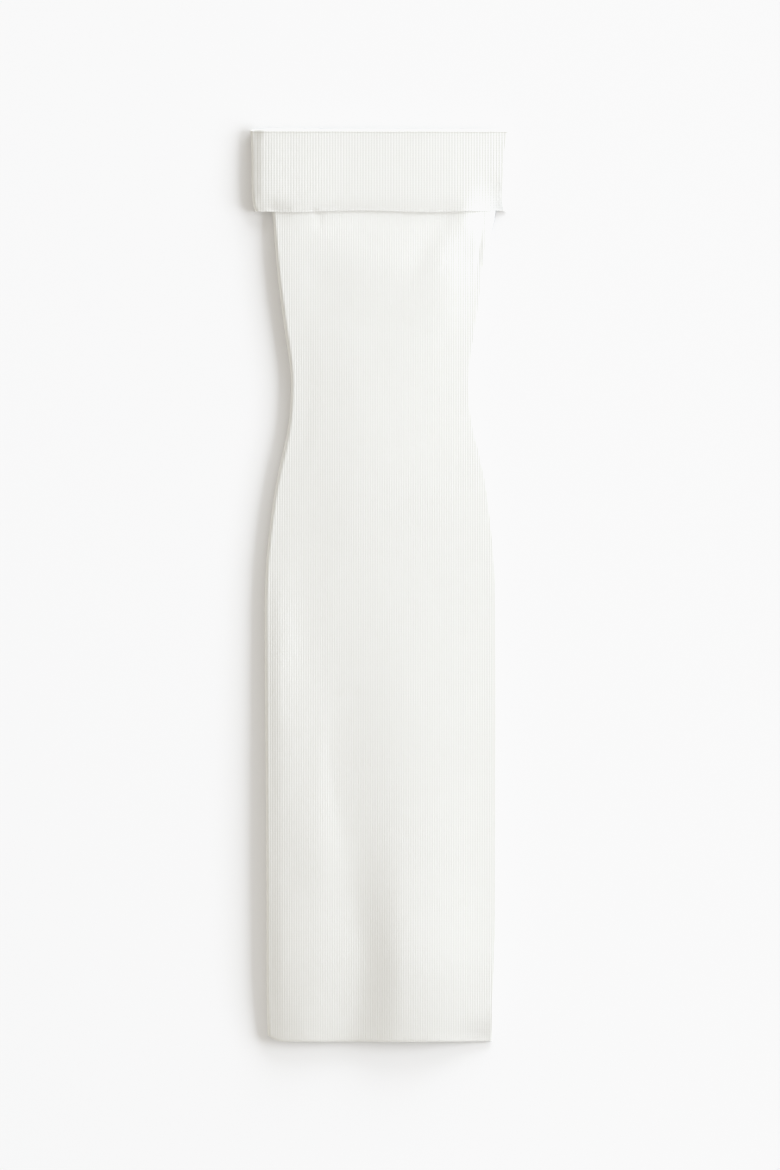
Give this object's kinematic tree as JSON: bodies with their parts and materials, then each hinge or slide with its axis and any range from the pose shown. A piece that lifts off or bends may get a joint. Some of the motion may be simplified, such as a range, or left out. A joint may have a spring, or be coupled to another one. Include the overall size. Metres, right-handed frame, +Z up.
{
  "type": "off-shoulder dress",
  "caption": "Close-fitting calf-length dress in fine rib knit, with a deep turned-down band round its off-shoulder neckline, laid flat on its back.",
  "frame": {"origin": "on the surface that the dress lies on, below the middle of its outline's bounding box", "axes": "+X to the right as the dress is looked down on, +Y from the hem to the neckline, +Z up, out of the dress's front"},
  "size_m": [0.3286, 1.1499, 0.0112],
  "materials": {
    "rib_knit": "matte off-white rib knit"
  },
  "bodies": {
    "root": {"front_panel": "rib_knit", "back_panel": "rib_knit", "front_band": "rib_knit", "back_band": "rib_knit"}
  },
  "joints": []
}
